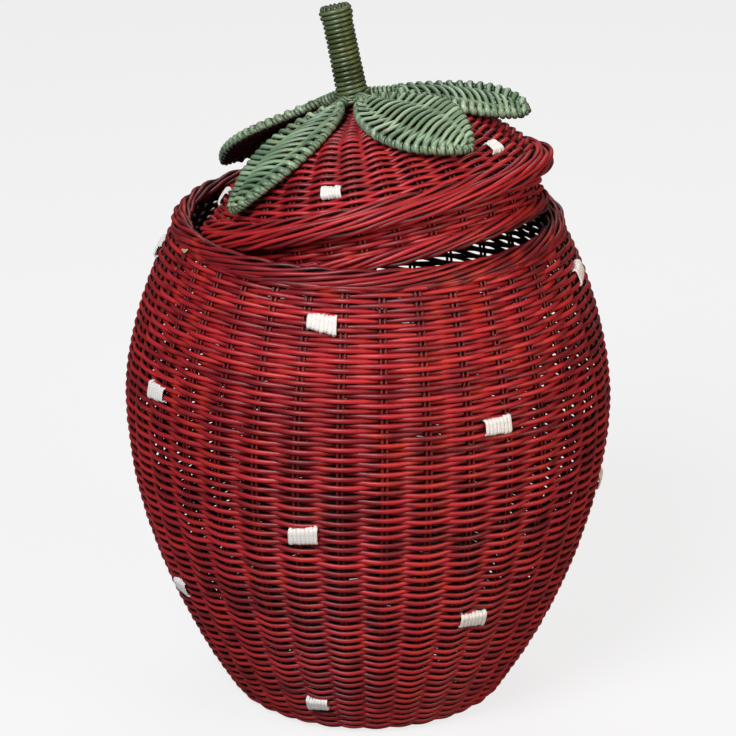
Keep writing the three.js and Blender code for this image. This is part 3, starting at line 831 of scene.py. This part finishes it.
# Its strands take paler shades than the other borders, a painted highlight
lay_border(bm, on_lid, edge_section, lid_stakes, strand_spacing=3.5, strand_width=3.4,
           first=lid_front_stake, darkest=0.15, palest=1.1)
lay_rings(bm, on_lid, [(123.4, 0.6, 5.2)])
finish_canes(bm, "lid_edge_strands", "lid", red_cane, ["lid_edge_rope"])

flange_section = [
    (110.6, -27.0), (110.9, -30.0), (113.2, -31.8), (115.6, -31.1), (116.5, -28.8),
    (116.0, -26.3), (115.0, -23.8), (113.4, -21.8),
]
bm = new_canes()
lay_border(bm, on_lid, flange_section, lid_stakes, strand_spacing=3.4, strand_width=3.5,
           first=lid_front_stake)
lay_rings(bm, on_lid, [(113.4, -28.6, 4.4), (112.2, -25.6, 3.2)])
finish_canes(bm, "lid_flange_strands", "lid", red_cane, ["lid_flange_border"])

# %% Neck of the lid
neck_radius, neck_depth = 115.5, 29
flange_tube = 4.5
neck_weaver, neck_weaver_depth = 3.5, 3.0
neck_pitch = 2.8
neck_swing = 2.2
neck_middle = -3.4
half_neck_gap = 1.7
neck_foot, neck_top = flange_tube - neck_depth, edge_tube - 1
neck = Outline(np.full(60, neck_radius), np.linspace(neck_foot, neck_top, 60))
bm = new_canes()
path, outward, shades = rand_weave(
    neck, lid_stakes, 0.6, neck.length - 1.2, neck_pitch, neck_middle, neck_swing, joins=7,
    front=lid_front_stake)
lay_cane(bm, *on_lid(path, outward), neck_weaver, neck_weaver_depth, tone=shades)
lay_stakes(bm, neck, np.linspace(0, neck.length, 8), lid_stakes, half_neck_gap / neck_radius,
           neck_middle, lid_stake_width, on_lid, lid_front_stake)
finish_canes(bm, "lid_neck_weave", "lid", red_cane, ["lid_neck"])

# %% [markdown]
# ## The bound stem
# A pole stands on the lid, with thin green cane wound tightly round it from the bottom up. At the
# top the winding goes over the ends of the canes that run up inside, which are folded in and
# leave the pole's sawn end open between them. The winding is one helix; its coils swell over the
# folded ends and spread where it meets the lid, and two more turns cross over its foot. The foot
# reaches below the round dome that it is measured from, down to the lower crown.

# %% Where the stem stands
stem_offset = -1.1
stem_lean = math.radians(1.4)
stem_seat = 0.436
core_radius = 7.7
crown_drop = 6.9
lean = np.array(Matrix.Rotation(stem_lean, 3, "Y").to_3x3())
stem_foot = np.array([stem_offset, 0, dome_height + stem_seat])


def on_stem(path, outward):
    """Points and directions of an upright stem, leant and stood on the lid."""
    outward = np.broadcast_to(np.asarray(outward, float), np.shape(path))
    return on_lid(path @ lean.T + stem_foot, outward @ lean.T)


# %% Winding of the stem
coils, coil_steps = 20, 28
coil_width, coil_depth = 2.85 * 1.12, 2.85
winding_foot, winding_top = -0.6 - crown_drop, 59.9
winding_radius = core_radius + 1.75
coil_swell = [
    (winding_foot, 3.2), (winding_foot + 2.6, 3.0), (winding_foot + 6, 2.0),
    (winding_foot + 11, 0.3), (51, 0.0), (54.5, 0.9), (57.5, 1.4), (winding_top, 0.7),
]
turns = np.linspace(0, 2 * math.pi * coils, coils * coil_steps + 1)
height = winding_foot + (winding_top - winding_foot) * (turns / turns[-1])
radius = winding_radius + np.interp(height, *zip(*coil_swell)) + gentle(len(turns), 90, 0.08)
outward = np.stack([np.cos(turns), np.sin(turns), 0 * turns], axis=1)
path = outward * radius[:, None] + np.outer(height, [0, 0, 1])
bm = new_canes()
lay_cane(bm, *on_stem(path, outward), coil_width, coil_depth,
         tone=shade_lengths(len(turns), 13, 0.2, 0.9))
finish_canes(bm, "stem_coils", "lid", stem_cane, ["stem_winding", "stem_collar"])

# %% Binding that crosses at the foot of the stem
crossing_radius = 12.4
crossing_tilt = math.radians(21)
around = np.linspace(0, 2 * math.pi, 61)
flat = np.stack([np.cos(around), np.sin(around), 0 * around], axis=1)
bm = new_canes()
for tilt, lift in ((crossing_tilt, 2.6 - crown_drop), (-crossing_tilt, 3.0 - crown_drop)):
    rise = lift + crossing_radius * np.cos(around) * math.tan(tilt)
    path = crossing_radius * flat + np.outer(rise, [0, 0, 1])
    path[-1] = path[0]
    lay_cane(bm, *on_stem(path, flat), 2.9, 2.7, tone=rng.uniform(0.5, 0.9), closed=True)
finish_canes(bm, "stem_foot_binding", "lid", stem_cane)

# %% Folded ends at the top
folded_ends = 16
folded_depth = 1.9
fold_line = np.array([(9.4, 58.8), (9.9, 60.4), (9.5, 61.7), (8.6, 62.4), (7.8, 62.2)])
bm = new_canes()
for i in range(folded_ends):
    turn = 2 * math.pi * (i + rng.uniform(-0.1, 0.1)) / folded_ends
    flat = np.array([math.cos(turn), math.sin(turn), 0])
    path = smooth_line(np.outer(fold_line[:, 0], flat) + np.outer(fold_line[:, 1], [0, 0, 1]), 3)
    girth = np.interp(np.linspace(0, 1, len(path)), [0, 0.5, 1], [2.6, 2.5, 1.8])
    lay_cane(bm, *on_stem(path, flat + (0, 0, 0.6)), girth, folded_depth,
             tone=rng.uniform(0.7, 1))
finish_canes(bm, "stem_folded_ends", "lid", stem_cane, ["stem_cap"])

# %% The pole's sawn end between them
sawn_depth, sawn_middle = 5, 60.0
# The sawn end takes this height in the cane attribute, so the painted shade of the cane material
# leaves it a little darker
end_colour_height = 1 * MM
bm = new_canes()
pole_end = bmesh.ops.create_cone(
    bm, cap_ends=True, segments=32, radius1=9.0, radius2=8.2, depth=sawn_depth)
cane_layer = bm.verts.layers.float_vector["cane"]
tone_layer = bm.verts.layers.float["tone"]
for vert in pole_end["verts"]:
    spot = np.array(vert.co) + (0, 0, sawn_middle)
    vert[cane_layer] = Vector((spot[0] * MM, spot[1] * MM, end_colour_height))
    vert[tone_layer] = 0.7
    vert.co = Vector(on_stem(spot[None], (0, 0, 1))[0][0]) * MM
finish_canes(bm, "stem_sawn_end", "lid", sawn_end)

# %% [markdown]
# ## Leaves
# A leaf is a cane bent into a hoop with one rib down its middle. A green cane goes back and
# forth over and under the hoop's sides and the rib, and turns round the hoop at each edge, which
# gives the toothed rim. It pulls square to the edge, so its rows bow towards the stem near the
# tip. Between its turns the hoop is bound with flat cane, so the edge has no gaps. The hoop's
# ends come together in a stalk that is wound like the stem. Each leaf was woven by hand at its
# own slant.
# The five differ in how they lie: the turn round the stem and a sweep to one side in degrees, a
# knee and a tip that shape the bow, each as reach and drop in shares of the dome, half the width
# as a share of the dome's radius, the roll about the leaf's own line in degrees, the arch across
# it in millimetres, the slant of the rows in degrees, the share of the line that is stalk, and
# how far the root is sunk, in millimetres, to meet the lowered crown.

# %% The five leaves
root_reach, root_gap = 14.5, 0.6
leaves_offset = -4.3
stalk_radius = 3.8
hoop_throat = 2.9
hoop_tube = 2.5
hoop_cane = 2.8
rib_cane = 1.8
leaves = {
    "front_left": (-122, -20, (0.705, 0.255), (0.943, 0.724), 0.197, -22, 2, 30, 0.05, 6),
    "front_right": (-64, 15, (0.787, 0.241), (0.951, 0.617), 0.254, 27, 3.5, 3, 0.05, 6),
    "right": (3, -7, (0.689, 0.205), (0.975, 0.535), 0.213, 21, 3, 24, 0.11, 5),
    "back": (92, 0, (0.738, 0.228), (0.943, 0.724), 0.205, 0, 3, 20, 0.11, 5),
    "left": (148, 0, (0.62, 0.2), (0.962, 0.485), 0.205, 22, 2, -20, 0.1, 2.5),
}


class Leaf:
    """The bowed centre line of a leaf and the surface either side of it, on the lid."""

    def __init__(self, turn, sweep, knee, tip, half_width, roll, arch, slant, stalk, sink):
        self.turn, self.sweep = math.radians(turn), math.radians(sweep)
        self.knee, self.tip = knee, tip
        self.half, self.roll, self.arch = half_width * dome_radius, math.radians(roll), arch
        self.slant = math.tan(math.radians(slant))
        self.stalk, self.sink = stalk, sink
        root = (stem_offset + root_reach * math.cos(self.turn), root_reach * math.sin(self.turn))
        self.root = round_dome(math.hypot(*root)) + stalk_radius + root_gap
        shares = np.linspace(0, 1, 200)
        self.shares, self.runs = shares, run_along(self.spine(shares))

    def spine(self, share):
        """Points of the centre line, a curve from the root past the knee to the tip."""
        rest = 1 - share
        knee, tip = 2 * rest * share, share ** 2
        reach = rest ** 2 * root_reach + dome_radius * (knee * self.knee[0] + tip * self.tip[0])
        drop = dome_height * (knee * self.knee[1] + tip * self.tip[1])
        angle = self.turn + self.sweep * share
        centre = leaves_offset + rest ** 2 * (stem_offset - leaves_offset)
        return np.stack([centre + reach * np.cos(angle), reach * np.sin(angle),
                         self.root - drop - rest ** 2 * self.sink], axis=-1)

    def at(self, share, aside, off):
        """Points and their upward directions on the leaf."""
        share, aside, off = np.broadcast_arrays(share, aside, off)
        ahead = unit(self.spine(share + 0.01) - self.spine(share - 0.01))
        side = unit(np.cross((0, 0, 1.0), ahead))
        normal = np.cross(ahead, side)
        roll = (self.roll * share)[..., None]
        side, normal = (side * np.cos(roll) + normal * np.sin(roll),
                        normal * np.cos(roll) - side * np.sin(roll))
        lift = off - self.arch * (aside / self.half) ** 2
        return self.spine(share) + side * aside[..., None] + normal * lift[..., None], normal

    def half_width(self, run):
        """Half the width at the middle of the hoop's cane, where the blade has run this far."""
        run = np.clip(run, 0, 1)
        almond = np.sin(math.pi * run ** 0.85) ** 0.75
        return hoop_throat + (self.half - hoop_tube - hoop_throat) * almond

    def blade_share(self, run):
        """Share of the centre line where the blade has run this far."""
        return self.stalk + (1 - self.stalk) * run


# %% [markdown]
# ## Weaving a leaf
# A leaf's weave is one cane again. Each row is a few points across the leaf, above the hoop or
# below it and the other way at the rib, with one more point where it turns round the hoop. A
# smooth line through the points is the path. The cane is pressed flat over the hoop and the rib,
# so it is given a spread at each of them.

# %% Weaving a leaf
leaf_cane = 3.2
row_along, first_row_along = 2.9, 1.0
row_places = np.array([-1, -0.8, -0.5, -0.25, 0, 0.25, 0.5, 0.8, 1])
row_spread = np.array([1.4, 1.3, 1.0, 1.08, 1.2, 1.08, 1.0, 1.3, 1.4])
edge_turn, turn_spread = 1.2, 1.36
look_along, steepest = 0.03, 0.8
strand_off = (hoop_cane + leaf_cane) / 2 - 0.1
rib_off = (rib_cane + leaf_cane) / 2 - 0.1


def weave_leaf(name, leaf):
    """The cane that weaves a leaf."""
    blade_length = leaf.runs[-1] - np.interp(leaf.stalk, leaf.shares, leaf.runs)
    rows = int(blade_length / row_along) - 1
    points, ups = [], []

    def put(along, aside_share, off, wide_by, facing, turning=0):
        """Adds a point, moved along the leaf by the slant and by the pull square to the edge."""
        run = along / blade_length
        width = float(leaf.half_width(run))
        wider = float(leaf.half_width(min(run + look_along, 1))
                      - leaf.half_width(max(run - look_along, 0)))
        widening = max(-steepest, min(steepest, wider / (2 * look_along * blade_length)))
        aside = aside_share * width
        edge = max(-1, min(1, aside_share))
        moved = (along - leaf.slant * width * edge * (3 - edge ** 2) / 2
                 - widening * width * abs(edge) ** 3 / 3)
        moved = max(0.5, min(blade_length - 0.5, moved))
        wide = float(leaf.half_width(moved / blade_length))
        over = aside - edge * width
        share = float(leaf.blade_share(moved / blade_length))
        point, normal = leaf.at(share, edge * wide + over, off)
        beyond = leaf.at(share, edge * wide + over + turning, off)[0]
        points.append([*point, wide_by, 1 if turning else facing])
        ups.append(unit(beyond - point) if turning else normal * facing)

    for row in range(rows + 1):
        along = (row + 0.5) * row_along + first_row_along
        heading = 1 if row % 2 else -1
        width = float(leaf.half_width(along / blade_length))
        for place, spread in zip(heading * row_places, row_spread):
            reach = rib_off + (strand_off - rib_off) * abs(place)
            put(along, place, heading * reach * math.cos(math.pi * place), spread, -heading)
        put(along + row_along / 2, heading * (1 + edge_turn / width), 0, turn_spread, 1, heading)
    line = smooth_line(np.array(points), 2)
    # Faced puts the painted shade of the cane material on the underside of the leaf, whichever way
    # a row's cane faces
    line, girth, faced = line[:, :3], leaf_cane * line[:, 3], np.clip(line[:, 4], -1, 1)
    up_line = unit(smooth_line(np.array(ups), 2))
    bm = new_canes()
    lay_cane(bm, *on_lid(line, up_line), girth, leaf_cane,
             tone=shade_lengths(len(line), 12, 0.1, 0.95), faced=faced)
    finish_canes(bm, f"leaf_{name}_weave", "lid", green_cane, [f"leaf_{name}_blade"])
    return blade_length


# %% Hoop, rib and stalk of a leaf
binding_width, binding_depth = 2.7, 1.5
wrap_width, wrap_depth = 2.7, 2.2
stalk_core = 4.0


def winding(centre, up_path, side, angle, reach):
    """A helix round a centre line, as points and outward directions."""
    outward = up_path * np.sin(angle)[:, None] + side * np.cos(angle)[:, None]
    return centre + outward * reach, outward


def frame_leaf(name, leaf):
    """Hoop of a leaf with its binding, and the rib."""
    run = 0.5 - 0.5 * np.cos(np.linspace(0, math.pi, 30))
    left, ups_left = leaf.at(leaf.blade_share(run), leaf.half_width(run), 0)
    right, ups_right = leaf.at(leaf.blade_share(run[::-1]), -leaf.half_width(run[::-1]), 0)
    tip, up_tip = leaf.at(1 + hoop_throat / (dome_radius * leaf.tip[0]), 0, 0)
    hoop = smooth_line(np.vstack([left, tip[None], right]), 2)
    ups = unit(smooth_line(np.vstack([ups_left, up_tip[None], ups_right]), 2))
    bm = new_canes()
    lay_cane(bm, *on_lid(hoop, ups), hoop_cane, tone=0.4)
    hoop_run = run_along(hoop)
    turns = int(hoop_run[-1] / row_along)
    angle = np.linspace(0, 2 * math.pi * turns, turns * 12 + 1)
    reached = angle / angle[-1] * hoop_run[-1]
    centre = np.stack([np.interp(reached, hoop_run, axis) for axis in hoop.T], axis=1)
    up_path = unit(np.stack([np.interp(reached, hoop_run, axis) for axis in ups.T], axis=1))
    side = unit(np.cross(up_path, np.gradient(centre, axis=0)))
    path, outward = winding(centre, up_path, side, angle, (hoop_cane + binding_depth - 0.2) / 2)
    lay_cane(bm, *on_lid(path, outward), binding_width, binding_depth,
             tone=shade_lengths(len(angle), 9, 0.3, 1.0))
    rib_run = np.linspace(0.02, 0.94, 30)
    path, up_path = leaf.at(leaf.blade_share(rib_run), 0, 0)
    lay_cane(bm, *on_lid(path, up_path), 2 * rib_cane, rib_cane, sides=6, tone=0.3)
    finish_canes(bm, f"leaf_{name}_frame", "lid", green_cane, [f"leaf_{name}_hoop"])


def wrap_stalk(name, leaf):
    """The stalk, wound up to where the hoop is wide enough for the weave to turn."""
    stalk_run = np.interp(leaf.stalk, leaf.shares, leaf.runs)
    wraps_end = leaf.blade_share(0.04)
    rounds = int((stalk_run + 9) / wrap_width)
    angle = np.linspace(0, 2 * math.pi * rounds, rounds * 16 + 1)
    share = np.linspace(-0.045, wraps_end, len(angle))
    centre, up_path = leaf.at(share, 0, 0)
    side = np.cross(up_path, unit(np.gradient(centre, axis=0)))
    reach = np.interp(share, [-0.05, 0.02, leaf.stalk, wraps_end], [3.1, 3.2, 3.1, 3.3])
    path, outward = winding(centre, up_path, side, angle, reach[:, None])
    bm = new_canes()
    lay_cane(bm, *on_lid(path, outward), wrap_width, wrap_depth,
             tone=shade_lengths(len(angle), 5, 0.2, 0.9))
    lay_cane(bm, *on_lid(centre, up_path), stalk_core, tone=0.3)
    finish_canes(bm, f"leaf_{name}_stalk_wraps", "lid", green_cane,
                 [f"leaf_{name}_stalk"])


# %% Making the five leaves
for name, values in leaves.items():
    leaf = Leaf(*values)
    length = weave_leaf(name, leaf)
    frame_leaf(name, leaf)
    wrap_stalk(name, leaf)
    print(f"leaf {name}: {length:.0f} mm of blade")

# %% [markdown]
# ## Seeds
# Each seed is soft white thread wrapped a few times over three or four rows of the weave and
# pulled tight, so the wraps lie side by side and are a little uneven at their ends.
# The seeds stand in rings round the wall, four or three to a ring, and one ring goes round the
# lid. Each is given by its turn in degrees and by its height as a share of the wall's.

# %% Where the seeds are, and how large
seed_width, seed_height = 20.5, 12.5
basket_seeds = [
    (-96, 0.976), (-12, 0.976), (79, 0.964), (169, 0.973),
    (-59, 0.763), (31, 0.757), (122, 0.766), (212, 0.754),
    (-15, 0.538), (81, 0.494), (172, 0.532), (256, 0.52),
    (-63, 0.299), (29, 0.308), (118, 0.302), (208, 0.31),
    (-18, 0.083), (102, 0.089), (222, 0.08),
]
lid_seeds = 5
lid_seed_turn, lid_seed_reach = -105.5, 106
seed_sizes = {
    "basket_seed_17": (15.5, 12.5), "lid_seed_1": (14.2, 10.2), "lid_seed_2": (11.5, 11),
    "lid_seed_3": (16, 12), "lid_seed_4": (15, 12), "lid_seed_5": (14, 12),
}
seed_shift = {"lid_seed_1": 3.2}

# %% Wrapping a seed
wraps = 7
thread_depth, thread_crowding = 1.5, 1.12
end_inset, waist_bow = 0.9, 0.8
tuck, inner_tuck, flat_from = 0.4, 0.2, 1.1
tuck_off, edge_off, flat_off, top_off = -2.6, -0.5, 0.95, 1.05
basket_rib_depth, lid_rib_depth = 2.5, 2.2


def rib_sink(turn, radius, stakes, first_stake, depth):
    """How deep a seed lies between two stakes, where the wall draws in."""
    steps = (turn - first_stake) * stakes / (2 * math.pi)
    spacing = 2 * math.pi * radius / stakes
    beyond = abs(steps - round(steps)) * spacing - seed_width / 2
    return max(0, beyond) * depth / (spacing / 2)


def wrap_seed(name, body, node, place):
    """Thread round a few rows; place gives points and their outward directions on the weave.

    Each wrap rises out of the weave, lies flat over the rows and goes back in.
    """
    bm = new_canes()
    width, tall = seed_sizes.get(node, (seed_width, seed_height))
    pitch = width / wraps
    waist = rng.uniform(-0.5, 0.9)
    lean_to = rng.uniform(-0.16, 0.16)
    flare = rng.uniform(-0.16, 0.16)
    for i in range(wraps):
        across = (i - (wraps - 1) / 2) * pitch
        far = abs(across) / (width / 2)
        half = (tall / 2 - end_inset - waist * (1 - far ** 2) * waist_bow
                + flare * across / 2 + rng.uniform(-0.6, 0.3))
        middle = lean_to * across + rng.uniform(-0.2, 0.2)
        ends = np.array([half + tuck, half + inner_tuck, half - flat_from])
        along = np.concatenate([-ends, [0], ends[::-1]])
        ends_off = [tuck_off, edge_off, flat_off]
        off = np.array(ends_off + [top_off + rng.uniform(0, 0.2)] + ends_off[::-1])
        sway = across + seed_shift.get(node, 0) + np.linspace(-1, 1, 7) * rng.uniform(-0.3, 0.3)
        line = smooth_line(np.stack([middle + along, off, sway], axis=1), 3)
        path, outward = place(line[:, 2], line[:, 0], line[:, 1])
        lay_cane(bm, path, outward, pitch * thread_crowding, thread_depth, sides=10,
                 tone=rng.uniform(0.2, 0.9))
    finish_canes(bm, name, body, thread, [node])


# %% Wrapping all the seeds
for i, (degrees, share) in enumerate(basket_seeds):
    middle = math.radians(degrees - 90)
    height = share * wall_top
    start = basket.run_at_height(height)
    radius = float(basket_radius(height))
    sink = rib_sink(middle, radius, stake_pairs, front_stake, basket_rib_depth)
    wrap_seed(
        f"basket_seed_wraps_{i + 1:02d}", "basket", f"basket_seed_{i + 1:02d}",
        lambda across, along, off: basket.at(
            start + along, middle + across / radius, off - sink))

seed_start = float(np.interp(lid_seed_reach, dome.radius[::-1], dome.run[::-1]))
for i in range(lid_seeds):
    middle = math.radians(lid_seed_turn + 360 / lid_seeds * i)
    sink = rib_sink(middle, lid_seed_reach, lid_stakes, lid_front_stake, lid_rib_depth)
    wrap_seed(
        f"lid_seed_wraps_{i + 1}", "lid", f"lid_seed_{i + 1}",
        lambda across, along, off: on_lid(
            *dome.at(seed_start + along, middle + across / lid_seed_reach, off - sink)))
print("seeds wrapped:", len(basket_seeds), "on the wall and", lid_seeds, "on the lid")

# %% [markdown]
# ## Floor and light
# A pale sweep and three large soft lamps, as in a small product studio. The sweep glows for the
# camera only, so the background is nearly white while the floor still takes a soft shadow and
# throws little light up at the basket.

# %% The floor
floor_drop = 0.3 * MM
floor_glow = 0.775


def studio_floor():
    """A paper floor just below the base."""
    bm = bmesh.new()
    bmesh.ops.create_grid(bm, x_segments=1, y_segments=1, size=6)
    bmesh.ops.translate(bm, verts=bm.verts, vec=(0, 0, -floor_drop))
    mesh = bpy.data.meshes.new("floor")
    bm.to_mesh(mesh)
    bm.free()
    floor = bpy.data.objects.new("floor", mesh)
    scene.collection.objects.link(floor)
    material, tree, shader = new_material("pale_paper_sweep")
    shader.inputs["Base Color"].default_value = linear("#6c6c6c")
    shader.inputs["Roughness"].default_value = 0.9
    camera_ray = add(tree, "ShaderNodeLightPath", {}).outputs["Is Camera Ray"]
    glow = add(tree, "ShaderNodeMath", {0: camera_ray, 1: floor_glow}, operation="MULTIPLY")
    tree.links.new(glow.outputs[0], shader.inputs["Emission Strength"])
    shader.inputs["Emission Color"].default_value = (1, 1, 1, 1)
    mesh.materials.append(material)


# %% The lamps
def softbox(name, place, size, power, tint="#ffffff"):
    """A soft lamp that faces the basket, its size in metres and its power in watts."""
    light = bpy.data.lights.new(name, "AREA")
    light.shape = "RECTANGLE"
    light.size, light.size_y = size
    light.energy = power
    light.color = linear(tint)[:3]
    lamp = bpy.data.objects.new(name, light)
    scene.collection.objects.link(lamp)
    lamp.location = place
    lamp.rotation_euler = (look_at - Vector(place)).to_track_quat("-Z", "Y").to_euler()


studio_floor()
softbox("key_softbox", (-0.9, -1.85, 2.0), (1.1, 1.1), 70, "#fbfaff")
softbox("fill_softbox", (1.7, -1.4, 1.1), (1.1, 1.3), 27, "#ffe6d6")
softbox("back_softbox", (0.2, 1.6, 2.0), (1.4, 0.8), 13)
world = bpy.data.worlds.new("studio_air")
world.use_nodes = True
air = world.node_tree.nodes["Background"]
air.inputs["Color"].default_value = linear("#f4f4f6")
air.inputs["Strength"].default_value = 0.1
scene.world = world
print("lamps:", [lamp.name for lamp in bpy.data.lights])

# %% Sizes, and the end
print(sum(triangles_of.values()), "triangles in", len(triangles_of), "pieces")
